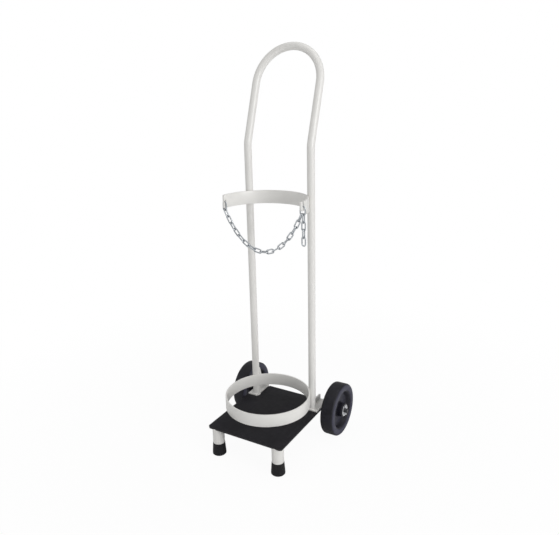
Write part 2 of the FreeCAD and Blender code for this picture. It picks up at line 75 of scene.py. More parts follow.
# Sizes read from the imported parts

RING_LOW, RING_HIGH = box_of("lower_ring")
RING_RADIUS = (RING_HIGH.x - RING_LOW.x) / 2
RING_Y = (RING_HIGH.y + RING_LOW.y) / 2
HALF_LOW, HALF_HIGH = box_of("upper_half_ring")
TUBE_LOW, TUBE_HIGH = box_of("frame_tube")
TUBE_RADIUS = 10.0 * MM  # half of the 20 mm tube, which leans, so its box doesn't give it
TUBE_X = TUBE_HIGH.x - TUBE_RADIUS
TUBE_Y = TUBE_LOW.y + TUBE_RADIUS
SHOE_TOP = box_of("left_shoe")[1].z
SHOE_INNER = box_of("right_shoe")[0].x
PLATE_LOW, PLATE_HIGH = box_of("base_plate")
WHEEL = middle_of("right_tyre")
TYRE_RADIUS = WHEEL.z - box_of("right_tyre")[0].z

# Where the wheel's painted light changes, as distances from the axle's line: the tyre's sidewall
# and the wheel's web are painted lighter than the tread, hub and rim

SIDEWALL_TO_TREAD = (TYRE_RADIUS - 5.0 * MM, TYRE_RADIUS - 1.0 * MM)
HUB_TO_WEB = (21.0 * MM, 25.0 * MM)
WEB_TO_RIM = (44.0 * MM, 49.0 * MM)

# Softened edges

RING_EDGE = 0.7  # shares of the panel's edge rounding
BAR_EDGE = 0.6
MAT_EDGE = 0.5
FOOT_EDGE = 0.5 * MM
WHEEL_EDGE = 0.8 * MM
WASHER_EDGE = 0.4 * MM
COLLAR_EDGE = 0.5 * MM

# Meshes

MERGE_DISTANCE = 0.01 * MM  # corners of packed triangles this close are one point
FLAT_ANGLE = math.radians(1)  # triangles this close to flat become one face
SKEW_ANGLE = math.radians(40)
SKIN_GRAIN = 0.35 * MM  # fineness of a weld bead's skin

# How the weld beads lie

SLIM = 0.8  # beads at the rings, the plate and the axle, as a share of the full width
FINE = 0.7  # beads at the gussets
STAND_OFF = 0.6 * MM  # from a corner to the middle of its bead
LEG_STAND_OFF = 0.4 * MM  # the same at the legs
RING_STAND_OFF = 0.7 * MM  # and at the rings
RING_BEAD_SIDE = 4.0 * MM  # sideways from the line where ring and upright touch
RING_BEAD_STOP = 2.5 * MM  # short of the ring's edges
GUSSET_BEAD_FOOT = 2.0 * MM  # above the gusset's foot
GUSSET_BEAD_TIP = 3.0 * MM  # below the gusset's tip
GUSSET_FLOOR_START = 3.0 * MM  # behind the tube
GUSSET_FLOOR_STOP = 2.0 * MM  # short of the gusset's rear end
AXLE_BEAD_SIDE = 3.6 * MM  # to the front and the back of the axle's middle
AXLE_STITCH = (62.0 * MM, 92.0 * MM)  # from the middle of the axle
SEAM_GAP = 6.0  # degrees between the seams on the shoe and on the plate

# Studio

PICTURE_WIDTH = 559  # pixels
LAMPS = {  # place, aim and size in metres, power in watts
    "key_lamp": ((3.0, -0.9, 1.7), (0.0, 0.0, 0.5), (1.6, 1.6), 50.0),
    "left_lamp": ((-2.6, -1.6, 1.5), (0.0, 0.0, 0.5), (1.6, 1.6), 12.0),
    "top_lamp": ((0.2, 0.2, 3.2), (0.0, 0.0, 0.4), (2.4, 2.4), 16.0),
}


# Selection and mesh helpers


def deselect():
    for item in bpy.context.selected_objects:
        item.select_set(False)


def make_active(piece):
    deselect()
    piece.select_set(True)
    bpy.context.view_layer.objects.active = piece


def apply_modifiers(piece):
    make_active(piece)
    for modifier in list(piece.modifiers):
        bpy.ops.object.modifier_apply(modifier=modifier.name)


def settle(piece):
    """Puts the piece's place into its mesh, so that the object sits at the origin."""
    make_active(piece)
    bpy.ops.object.transform_apply(location=True, rotation=True, scale=True)


def join(pieces):
    deselect()
    for piece in pieces:
        piece.select_set(True)
    bpy.context.view_layer.objects.active = pieces[0]
    bpy.ops.object.join()
    return bpy.context.active_object


def finish_piece(piece, name, body, finish):
    """Names the piece, gives it its finish and ties it to its body and material slot."""
    piece.name = name
    piece.data.name = name
    piece.data.materials.clear()
    piece.data.materials.append(finish_for(finish))
    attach(piece, body)
    return piece


def body_of_node(name):
    bodies = frame["record"]["behaviour"]["bodies"]
    return [body for body, members in bodies.items() if name in members][0]


def dress_node(name, finish, bevel=0.0, angle=35.0):
    """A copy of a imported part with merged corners, softened edges and smooth round faces."""
    piece = bpy.data.objects.new(name + "_dressed", NODES[name].data.copy())
    bpy.context.scene.collection.objects.link(piece)
    make_active(piece)
    bpy.ops.object.mode_set(mode="EDIT")
    bpy.ops.mesh.select_all(action="SELECT")
    bpy.ops.mesh.remove_doubles(threshold=MERGE_DISTANCE)
    bpy.ops.mesh.tris_convert_to_quads(face_threshold=FLAT_ANGLE, shape_threshold=SKEW_ANGLE)
    bpy.ops.object.mode_set(mode="OBJECT")
    if piece.data.has_custom_normals:
        bpy.ops.mesh.customdata_custom_splitnormals_clear()
    if bevel > 0:
        soften = piece.modifiers.new("Softened edges", "BEVEL")
        soften.width = bevel
        soften.segments = 2
        soften.limit_method = "ANGLE"
        soften.angle_limit = math.radians(angle)
        soften.harden_normals = False
        apply_modifiers(piece)
    make_active(piece)
    bpy.ops.object.shade_smooth_by_angle(angle=math.radians(angle))
    finish_piece(piece, name + "_dressed", body_of_node(name), finish)
    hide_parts(name)


# Material helpers


class Finish:
    """Builds one node material, with object coordinates in metres."""

    def __init__(self, name):
        self.material = bpy.data.materials.new(name)
        self.material.use_nodes = True
        self.tree = self.material.node_tree
        self.shader = self.tree.nodes["Principled BSDF"]
        self.place = self.tree.nodes.new("ShaderNodeTexCoord").outputs["Object"]
        self.normal = None

    def node(self, kind, **inputs):
        made = self.tree.nodes.new(kind)
        for key, value in inputs.items():
            made.inputs[key.replace("_", " ")].default_value = value
        return made

    def feed(self, socket, value):
        """Links a socket to another one, or sets it to a constant."""
        if isinstance(value, bpy.types.NodeSocket):
            self.tree.links.new(value, socket)
        else:
            socket.default_value = value

    def set(self, **values):
        for key, value in values.items():
            self.feed(self.shader.inputs[key.replace("_", " ")], value)

    def noise(self, per_metre, detail=3.0, roughness=0.5, stretch=None):
        made = self.node("ShaderNodeTexNoise", Scale=per_metre, Detail=detail, Roughness=roughness)
        self.feed(made.inputs["Vector"], self.stretched(stretch) if stretch else self.place)
        return made.outputs["Fac"]

    def stretched(self, stretch):
        mapping = self.node("ShaderNodeMapping", Scale=stretch)
        self.feed(mapping.inputs["Vector"], self.place)
        return mapping.outputs["Vector"]

    def cells(self, per_metre):
        made = self.node("ShaderNodeTexVoronoi", Scale=per_metre)
        self.feed(made.inputs["Vector"], self.place)
        return made.outputs["Distance"]

    def ramp(self, source, stops):
        made = self.tree.nodes.new("ShaderNodeValToRGB")
        for element, (position, colour) in zip(made.color_ramp.elements, stops):
            element.position = position
            element.color = (*colour, 1.0)
        for position, colour in stops[2:]:
            made.color_ramp.elements.new(position).color = (*colour, 1.0)
        self.feed(made.inputs["Fac"], source)
        return made.outputs["Color"]

    def span(self, source, low, high, from_low=0.0, from_high=1.0):
        """Maps the source from one range to another and holds it at the ends."""
        made = self.node(
            "ShaderNodeMapRange", From_Min=from_low, From_Max=from_high, To_Min=low, To_Max=high
        )
        self.feed(made.inputs["Value"], source)
        return made.outputs["Result"]

    def mix(self, share, first, second):
        """Second colour over the first, by a share from 0 to 1."""
        made = self.tree.nodes.new("ShaderNodeMix")
        made.data_type = "RGBA"
        inputs = {socket.name: socket for socket in made.inputs if socket.enabled}
        self.feed(inputs["Factor"], share)
        for key, colour in (("A", first), ("B", second)):
            self.feed(inputs[key], (*colour, 1.0) if isinstance(colour, tuple) else colour)
        return [socket for socket in made.outputs if socket.enabled][0]

    def combine(self, operation, first, second=0.0):
        made = self.tree.nodes.new("ShaderNodeMath")
        made.operation = operation
        self.feed(made.inputs[0], first)
        self.feed(made.inputs[1], second)
        return made.outputs["Value"]

    def from_axle(self):
        """Distance from the wheels' axle, for patterns that follow the wheel."""
        split = self.tree.nodes.new("ShaderNodeSeparateXYZ")
        self.feed(split.inputs["Vector"], self.place)
        across = self.combine("POWER", self.combine("ADD", split.outputs["Y"], -WHEEL.y), 2.0)
        upward = self.combine("POWER", self.combine("ADD", split.outputs["Z"], -WHEEL.z), 2.0)
        return self.combine("POWER", self.combine("ADD", across, upward), 0.5)

    def rings(self, radius, per_mm):
        """Fine moulding rings: a sine of the radius, in radians per millimetre."""
        return self.combine("SINE", self.combine("MULTIPLY", radius, per_mm / MM))

    def crevices(self, reach):
        """1 in the open and less where surfaces meet, for painted shade along welds and joints,
        and for dust in the wheel's corners.
        """
        made = self.node("ShaderNodeAmbientOcclusion", Distance=reach)
        made.samples = 8
        return made.outputs["AO"]

    def edges(self, radius):
        """Above 0 where a surface turns sharply, for wear along edges."""
        bevel = self.node("ShaderNodeBevel", Radius=radius)
        bevel.samples = 4
        geometry = self.tree.nodes.new("ShaderNodeNewGeometry")
        dot = self.tree.nodes.new("ShaderNodeVectorMath")
        dot.operation = "DOT_PRODUCT"
        self.feed(dot.inputs[0], bevel.outputs["Normal"])
        self.feed(dot.inputs[1], geometry.outputs["Normal"])
        return self.combine("SUBTRACT", 1.0, dot.outputs["Value"])

    def bump(self, height, distance, strength):
        """Adds a bump on top of those already there."""
        made = self.node("ShaderNodeBump", Distance=distance, Strength=strength)
        self.feed(made.inputs["Height"], height)
        if self.normal is not None:
            self.feed(made.inputs["Normal"], self.normal)
        self.normal = made.outputs["Normal"]
        self.set(Normal=self.normal)


def shade(colour, factor):
    return tuple(channel * factor for channel in colour)


BLACK = (0.0, 0.0, 0.0)
WHITE = (1.0, 1.0, 1.0)


# Finishes


def powder_coat(colour):
    """White baked powder: faint orange peel, painted shade in the corners, edges rubbed dull."""
    finish = Finish("White powder coat")
    tone = finish.ramp(finish.noise(9.0, 2.0), [(0.3, shade(colour, 0.97)), (0.7, colour)])
    specks = finish.ramp(finish.noise(420.0, 1.0), [(0.74, BLACK), (0.8, WHITE)])
    tone = finish.mix(finish.span(specks, 0.0, 0.10), tone, shade(colour, 0.62))
    rubbed = finish.span(finish.edges(0.9 * MM), 0.0, 0.5, 0.02, 0.30)
    patches = finish.span(finish.noise(60.0, 4.0), 0.0, 1.0, 0.48, 0.62)
    tone = finish.mix(finish.combine("MULTIPLY", rubbed, patches), tone, shade(colour, 0.70))
    # Painted shade: ambient occlusion darkens the powder towards a warm grey where surfaces meet,
    # broken up by noise
    corner_shade = finish.span(finish.crevices(9.0 * MM), 0.30, 0.0, 0.25, 0.85)
    corner_shade_breakup = finish.span(finish.noise(140.0, 5.0), 0.4, 1.0)
    tone = finish.mix(finish.combine("MULTIPLY", corner_shade, corner_shade_breakup), tone, (0.42, 0.40, 0.36))
    finish.set(Base_Color=tone, Roughness=finish.span(finish.noise(30.0, 3.0), 0.30, 0.42))
    finish.set(Coat_Weight=0.25, Coat_Roughness=0.22, Specular_IOR_Level=0.45)
    finish.bump(finish.noise(620.0, 2.0), 0.05 * MM, 0.55)
    finish.bump(finish.noise(90.0, 2.0), 0.10 * MM, 0.35)
    return finish.material


def weld_paint(colour):
    """The same powder over a weld, with painted shade darkening the hollows of the ripples."""
    finish = Finish("Powder coat over weld")
    # Painted shade: ambient occlusion greys the weld in the hollows between its ripples
    hollow = finish.span(finish.crevices(2.5 * MM), 0.55, 0.0, 0.3, 0.95)
    tone = finish.mix(hollow, colour, (0.46, 0.45, 0.42))
    spatter = finish.ramp(finish.noise(700.0, 2.0), [(0.62, BLACK), (0.72, WHITE)])
    tone = finish.mix(finish.span(spatter, 0.0, 0.25), tone, shade(colour, 0.7))
    finish.set(Base_Color=tone, Roughness=finish.span(finish.noise(200.0), 0.34, 0.5))
    finish.set(Coat_Weight=0.2)
    finish.bump(finish.noise(520.0, 2.0), 0.08 * MM, 0.6)
    return finish.material


def black_plate_paint(colour):
    """Brushed black paint, clouded and chipped to bare steel along its edges."""
    finish = Finish("Black plate paint")
    tone = finish.ramp(finish.noise(26.0, 4.0), [(0.35, colour), (0.75, shade(colour, 1.9))])
    rubbed = finish.span(finish.edges(1.2 * MM), 0.0, 0.6, 0.02, 0.3)
    patches = finish.span(finish.noise(240.0, 3.0), 0.0, 1.0, 0.52, 0.58)
    tone = finish.mix(finish.combine("MULTIPLY", rubbed, patches), tone, (0.22, 0.21, 0.20))
    finish.set(Base_Color=tone, Roughness=finish.span(finish.noise(80.0, 3.0), 0.38, 0.55))
    finish.bump(finish.noise(500.0, 2.0), 0.06 * MM, 0.5)
    return finish.material


def mat_rubber(colour):
    """Thin sheet rubber with a fine pebbled face, dusty where boots and bottles land."""
    finish = Finish("Pebbled mat rubber")
    pebbles = finish.cells(430.0)
    tones = [(0.30, shade(colour, 0.75)), (0.72, shade(colour, 1.35))]
    tone = finish.ramp(finish.noise(14.0, 5.0, 0.6), tones)
    hollows = finish.span(pebbles, 1.0, 0.0, 0.0, 0.55)
    dust = finish.combine("MULTIPLY", hollows, finish.noise(45.0, 6.0, 0.7))
    tone = finish.mix(finish.span(dust, 0.0, 0.10, 0.25, 0.75), tone, (0.16, 0.155, 0.16))
    scuffs = finish.noise(55.0, 6.0, 0.7, stretch=(1.0, 5.0, 1.0))
    tone = finish.mix(finish.span(scuffs, 0.0, 0.07, 0.60, 0.72), tone, (0.20, 0.195, 0.20))
    finish.set(Base_Color=tone, Roughness=finish.span(finish.noise(70.0, 3.0), 0.55, 0.75))
    finish.set(Specular_IOR_Level=0.3)
    finish.bump(pebbles, 0.25 * MM, 0.7)
    finish.bump(finish.noise(900.0, 2.0), 0.05 * MM, 0.5)
    return finish.material


def foot_rubber(colour):
    """Moulded rubber with a faint pale bloom."""
    finish = Finish("Moulded foot rubber")
    tone = finish.ramp(finish.noise(70.0, 4.0), [(0.3, colour), (0.8, shade(colour, 1.7))])
    bloom = finish.span(finish.noise(220.0, 5.0, 0.7), 0.0, 0.08, 0.5, 0.7)
    tone = finish.mix(bloom, tone, (0.12, 0.115, 0.115))
    finish.set(Base_Color=tone, Roughness=finish.span(finish.noise(160.0, 3.0), 0.48, 0.66))
    finish.set(Specular_IOR_Level=0.3)
    finish.bump(finish.noise(800.0, 2.0), 0.06 * MM, 0.5)
    return finish.material


def tyre_rubber(colour):
    """Solid rubber: a smooth dark tread, a sidewall painted lighter as painted light and sheen,
    and faint moulding rings.
    """
    finish = Finish("Solid tyre rubber")
    radius = finish.from_axle()
    # Painted light: the sidewall is painted several times lighter than the tread, for the light
    # and sheen falling on it
    side = finish.span(radius, 1.0, 0.0, *SIDEWALL_TO_TREAD)
    tone = finish.mix(side, shade(colour, 0.8), shade(colour, 5.4))
    cloudy = finish.span(finish.noise(60.0, 5.0, 0.65), 0.0, 0.30, 0.45, 0.8)
    tone = finish.mix(cloudy, tone, shade(colour, 5.0))
    grit = finish.span(finish.noise(650.0, 3.0), 0.0, 0.12, 0.60, 0.75)
    tone = finish.mix(grit, tone, (0.12, 0.115, 0.11))
    finish.set(Base_Color=tone, Roughness=finish.span(finish.noise(110.0, 4.0), 0.42, 0.62))
    finish.set(Specular_IOR_Level=0.35)
    finish.bump(finish.rings(radius, 2.6), 0.03 * MM, 0.4)
    finish.bump(finish.noise(420.0, 3.0), 0.09 * MM, 0.5)
    return finish.material


def wheel_plastic(colour):
    """Black moulding: a web between hub and rim painted lighter as painted light, dust in the
    corners, faint rings.
    """
    finish = Finish("Moulded wheel plastic")
    radius = finish.from_axle()
    tone = finish.ramp(finish.noise(40.0, 4.0), [(0.3, colour), (0.8, shade(colour, 1.6))])
    dust = finish.span(finish.crevices(12.0 * MM), 0.10, 0.0, 0.3, 0.9)
    tone = finish.mix(dust, tone, (0.12, 0.118, 0.12))
    # Painted light: the web between hub and rim is painted lighter as if lit, while hub and rim
    # keep the dark base
    past_hub = finish.span(radius, 0.0, 1.0, *HUB_TO_WEB)
    before_rim = finish.span(radius, 1.0, 0.0, *WEB_TO_RIM)
    tone = finish.mix(finish.combine("MULTIPLY", past_hub, before_rim), tone, shade(colour, 2.6))
    finish.set(Base_Color=tone, Roughness=finish.span(finish.noise(90.0, 3.0), 0.30, 0.44))
    finish.set(Specular_IOR_Level=0.35)
    finish.bump(finish.rings(radius, 3.4), 0.02 * MM, 0.5)
    finish.bump(finish.noise(700.0, 2.0), 0.04 * MM, 0.5)
    return finish.material


def bush_plastic(colour):
    """Pale nylon, slightly clouded."""
    finish = Finish("Nylon bush")
    tone = finish.ramp(finish.noise(90.0, 3.0), [(0.3, shade(colour, 0.85)), (0.7, colour)])
    finish.set(Base_Color=tone, Roughness=finish.span(finish.noise(150.0), 0.35, 0.5))
    finish.bump(finish.noise(600.0, 2.0), 0.03 * MM, 0.5)
    return finish.material


def zinc_plate(colour, name, bright):
    """Bright zinc: cloudy spangle, fine scratches and painted shade darkening the hollows. Bright
    is 0 to 1.
    """
    finish = Finish(name)
    tones = [(0.25, shade(colour, 0.72)), (0.55, colour), (0.8, shade(colour, 1.12))]
    tone = finish.ramp(finish.noise(150.0, 4.0, 0.6), tones)
    # Painted shade: ambient occlusion darkens the zinc where links and parts meet
    hollow = finish.span(finish.crevices(3.0 * MM), 0.65, 0.0, 0.25, 0.95)
    tone = finish.mix(hollow, tone, (0.16, 0.165, 0.18))
    finish.set(Base_Color=tone, Metallic=1.0)
    cloudy = finish.noise(300.0, 4.0, 0.6)
    finish.set(Roughness=finish.span(cloudy, 0.36 - 0.14 * bright, 0.58 - 0.2 * bright))
    finish.bump(finish.noise(900.0, 3.0), 0.04 * MM, 0.6)
    finish.bump(finish.noise(260.0, 2.0), 0.06 * MM, 0.4)
    return finish.material


def dark_steel(colour):
    """Drawn bar: dark, with lines along its length and a little light rust."""
    finish = Finish("Drawn axle steel")
    drawn = finish.noise(500.0, 3.0, stretch=(0.04, 1.0, 1.0))
    tone = finish.ramp(drawn, [(0.3, shade(colour, 0.7)), (0.7, shade(colour, 1.3))])
    rust = finish.span(finish.noise(80.0, 6.0, 0.7), 0.0, 0.5, 0.58, 0.75)
    tone = finish.mix(rust, tone, (0.12, 0.07, 0.045))
    finish.set(Base_Color=tone, Metallic=0.85, Roughness=finish.span(drawn, 0.35, 0.55))
    finish.bump(drawn, 0.04 * MM, 0.6)
    return finish.material


def floor_finish(shadow_share, shadow_reach):
    """White floor that keeps a soft shadow near the trolley and is plain white further out."""
    finish = Finish("Studio floor")
    finish.set(Base_Color=(0.9, 0.9, 0.9, 1.0), Roughness=0.9)
    plain = finish.node("ShaderNodeEmission", Color=(1.0, 1.0, 1.0, 1.0))
    path = finish.tree.nodes.new("ShaderNodeLightPath")
    distance = finish.tree.nodes.new("ShaderNodeVectorMath")
    distance.operation = "LENGTH"
    finish.feed(distance.inputs[0], finish.place)
    fade_start = shadow_reach * 0.3
    plain_share = finish.span(
        distance.outputs["Value"], 1.0 - shadow_share, 1.0, fade_start, shadow_reach
    )
    plain_share.node.interpolation_type = "SMOOTHSTEP"
    mix = finish.tree.nodes.new("ShaderNodeMixShader")
    seen = finish.combine("MULTIPLY", path.outputs["Is Camera Ray"], plain_share)
    finish.feed(mix.inputs["Fac"], seen)
    finish.feed(mix.inputs[1], finish.shader.outputs["BSDF"])
    finish.feed(mix.inputs[2], plain.outputs["Emission"])
    finish.feed(finish.tree.nodes["Material Output"].inputs["Surface"], mix.outputs["Shader"])
    return finish.material


FINISHES = {}


def finish_for(key):
    """Makes each finish once, from the colours on the panel."""
    looks = bpy.context.scene.trolley_looks
    makers = {
        "powder": (powder_coat, looks.paint_colour),
        "weld": (weld_paint, looks.paint_colour),
        "plate": (black_plate_paint, looks.plate_colour),
        "mat": (mat_rubber, looks.mat_colour),
        "foot": (foot_rubber, looks.foot_colour),
        "tyre": (tyre_rubber, looks.tyre_colour),
        "wheel": (wheel_plastic, looks.wheel_colour),
        "bush": (bush_plastic, looks.bush_colour),
        "chain": (zinc_plate, looks.chain_colour, "Bright zinc chain", 0.8),
        "zinc": (zinc_plate, looks.hardware_colour, "Zinc hardware", 1.0),
        "axle": (dark_steel, looks.axle_colour),
    }
    if key not in FINISHES:
        maker, colour, *more = makers[key]
        FINISHES[key] = maker(tuple(colour), *more)
    return FINISHES[key]


# Weld beads


def bead(name, points, width):
    """A rippled fillet weld on the frame: overlapping drops along a line, fused to one skin."""
    drops = []
    for place in points:
        deselect()
        bpy.ops.mesh.primitive_uv_sphere_add(
            segments=12, ring_count=8, radius=width / 2, location=place
        )
        drops.append(bpy.context.active_object)
    fused = join(drops)
    settle(fused)
    skin = fused.modifiers.new("Fused skin", "REMESH")
    skin.mode = "VOXEL"
    skin.voxel_size = SKIN_GRAIN
    smooth = fused.modifiers.new("Softened ripples", "SMOOTH")
    smooth.factor = 0.5
    smooth.iterations = 2
    apply_modifiers(fused)
    make_active(fused)
    bpy.ops.object.shade_smooth()
    finish_piece(fused, name, "frame", "weld")


def along(start, end, step):
    """Points about a step apart from start to end."""
    run = end - start
    count = max(2, round(run.length / step) + 1)
    return [start + run * (i / (count - 1)) for i in range(count)]


def around(centre, radius, step, first=0.0, last=360.0):
    """Points about a step apart on a level arc, in degrees from +X."""
    sweep = math.radians(last - first)
    count = max(3, round(abs(sweep) * radius / step))
    angles = [math.radians(first) + sweep * i / count for i in range(count)]
    return [centre + Vector((math.cos(a), math.sin(a), 0)) * radius for a in angles]


# Operators


class TrolleyOperator:
    """What the trolley's operators share."""

    bl_options = {"REGISTER", "UNDO"}


class TROLLEY_OT_frame_paint(TrolleyOperator, bpy.types.Operator):
    """Powder coat on the tube, the rings, the shoes, the gussets and the legs"""

    bl_idname = "trolley.frame_paint"
    bl_label = "Paint Frame"

    def execute(self, context):
        soft = context.scene.trolley_looks.edge_rounding
        dress_node("frame_tube", "powder", angle=50.0)
        for name in ("lower_ring", "upper_half_ring"):
            dress_node(name, "powder", soft * RING_EDGE, angle=40.0)
        for side in SIDES:
            for piece in ("shoe", "gusset", "leg"):
                dress_node("%s_%s" % (side, piece), "powder", soft * BAR_EDGE, angle=40.0)
        return {"FINISHED"}


class TROLLEY_OT_base(TrolleyOperator, bpy.types.Operator):
    """Black paint on the base plate and the pebbled rubber mat on top of it"""

    bl_idname = "trolley.base"
    bl_label = "Dress Base"

    def execute(self, context):
        soft = context.scene.trolley_looks.edge_rounding
        dress_node("base_plate", "plate", soft * BAR_EDGE, angle=40.0)
        dress_node("base_mat", "mat", soft * MAT_EDGE, angle=40.0)
        return {"FINISHED"}


class TROLLEY_OT_feet(TrolleyOperator, bpy.types.Operator):
    """Rubber on the two feet"""

    bl_idname = "trolley.feet"
    bl_label = "Dress Feet"

    def execute(self, context):
        for side in SIDES:
            dress_node(side + "_rubber_foot", "foot", FOOT_EDGE)
        return {"FINISHED"}


class TROLLEY_OT_wheels(TrolleyOperator, bpy.types.Operator):
    """Tyres, wheel centres and bushes"""

    bl_idname = "trolley.wheels"
    bl_label = "Dress Wheels"

    def execute(self, context):
        for side in SIDES:
            dress_node(side + "_tyre", "tyre", angle=50.0)
            dress_node(side + "_wheel_centre", "wheel", WHEEL_EDGE)
            dress_node(side + "_wheel_bush", "bush")
        return {"FINISHED"}


class TROLLEY_OT_axle(TrolleyOperator, bpy.types.Operator):
    """The axle, its collars, washers and split pins"""

    bl_idname = "trolley.axle"
    bl_label = "Dress Axle"

    def execute(self, context):
        dress_node("axle", "axle")
        for side in SIDES:
            dress_node(side + "_outer_washer", "zinc", WASHER_EDGE)
            dress_node(side + "_inner_washer", "zinc", WASHER_EDGE)
            dress_node(side + "_axle_collar", "axle", COLLAR_EDGE)
            dress_node(side + "_split_pin", "zinc", angle=45.0)
        return {"FINISHED"}


class TROLLEY_OT_chain(TrolleyOperator, bpy.types.Operator):
    """Zinc plate on every link of the chain and its tail"""

    bl_idname = "trolley.chain"
    bl_label = "Plate Chain"

    def execute(self, context):
        for name in sorted(NODES):
            if name.startswith(("chain_", "tail_")):
                dress_node(name, "chain", angle=60.0)
        return {"FINISHED"}


class TROLLEY_OT_weld_beads(TrolleyOperator, bpy.types.Operator):
    """Fillet welds where the rings, gussets, legs and axle meet what carries them"""

    bl_idname = "trolley.weld_beads"
    bl_label = "Lay Weld Beads"

    def execute(self, context):
        looks = context.scene.trolley_looks
        width, step = looks.bead_width, looks.bead_step
        for side, sign in SIDES.items():
            self.ring_welds(side, sign, "lower", RING_LOW.z, RING_HIGH.z, width, step)
            self.ring_welds(side, sign, "upper", HALF_LOW.z, HALF_HIGH.z, width, step)
            self.upright_foot_welds(side, sign, width, step)
            self.gusset_welds(side, width, step)
            self.leg_weld(side, width, step)
            self.axle_welds(side, sign, width, step)
        return {"FINISHED"}

    def ring_welds(self, side, sign, level, low, high, width, step):
        """One bead on each side of the line where the ring touches the upright."""
        touch = Vector((sign * TUBE_X, TUBE_Y - RING_Y, 0)).normalized()
        sideways = Vector((-touch.y, touch.x, 0))
        place = Vector((0, RING_Y, 0)) + touch * (RING_RADIUS + RING_STAND_OFF)
        for number, turn in enumerate((-1, 1), start=1):
            foot = place + sideways * (turn * RING_BEAD_SIDE)
            start = foot + Vector((0, 0, low + RING_BEAD_STOP))
            end = foot + Vector((0, 0, high - RING_BEAD_STOP))
            name = "%s_%s_ring_weld_%d" % (side, level, number)
            bead(name, along(start, end, step), width * SLIM)

    def upright_foot_welds(self, side, sign, width, step):
        """Round the tube on top of the shoe, and on the plate where the tube is clear of it."""
        outward = 0.0 if sign > 0 else 180.0
        clear = math.degrees(math.acos((SHOE_INNER - TUBE_X) / TUBE_RADIUS))
        reach = TUBE_RADIUS + STAND_OFF
        on_shoe = Vector((sign * TUBE_X, TUBE_Y, SHOE_TOP))
        on_plate = Vector((sign * TUBE_X, TUBE_Y, PLATE_HIGH.z + STAND_OFF))
        seam = around(on_shoe, reach, step, outward - clear, outward + clear)
        bead(side + "_upright_shoe_weld", seam, width)
        first, last = outward + clear + SEAM_GAP, outward - clear + 360.0 - SEAM_GAP
        seam = around(on_plate, reach, step, first, last)
        bead(side + "_upright_plate_weld", seam, width * SLIM)

    def gusset_welds(self, side, width, step):
        """On both faces of the gusset: up the tube, and back along the shoe."""
        low, high = box_of(side + "_gusset")
        off_centre = TUBE_X - abs(low.x + high.x) / 2
        rear = TUBE_Y + math.sqrt(TUBE_RADIUS**2 - off_centre**2)
        for number, face in enumerate((low.x, high.x), start=1):
            y = TUBE_Y + math.sqrt(TUBE_RADIUS**2 - (TUBE_X - abs(face)) ** 2)
            start = Vector((face, y, low.z + GUSSET_BEAD_FOOT))
            end = Vector((face, y, high.z - GUSSET_BEAD_TIP))
            bead("%s_gusset_weld_%d" % (side, number), along(start, end, step), width * FINE)
            start = Vector((face, rear + GUSSET_FLOOR_START, low.z))
            end = Vector((face, high.y - GUSSET_FLOOR_STOP, low.z))
            bead("%s_gusset_foot_weld_%d" % (side, number), along(start, end, step), width * FINE)

    def leg_weld(self, side, width, step):
        """Round the top of the leg, under the plate."""
        low, high = box_of(side + "_leg")
        top = Vector(((low.x + high.x) / 2, (low.y + high.y) / 2, high.z))
        reach = (high.x - low.x) / 2 + LEG_STAND_OFF
        bead(side + "_leg_top_weld", around(top, reach, step), width)

    def axle_welds(self, side, sign, width, step):
        """Stitches between the axle and the underside of the plate."""
        inner, outer = (sign * reach for reach in AXLE_STITCH)
        z = PLATE_LOW.z - STAND_OFF
        for number, turn in enumerate((-1, 1), start=1):
            y = middle_of("axle").y + turn * AXLE_BEAD_SIDE
            stitch = along(Vector((inner, y, z)), Vector((outer, y, z)), step)
            bead("%s_axle_weld_%d" % (side, number), stitch, width * SLIM)


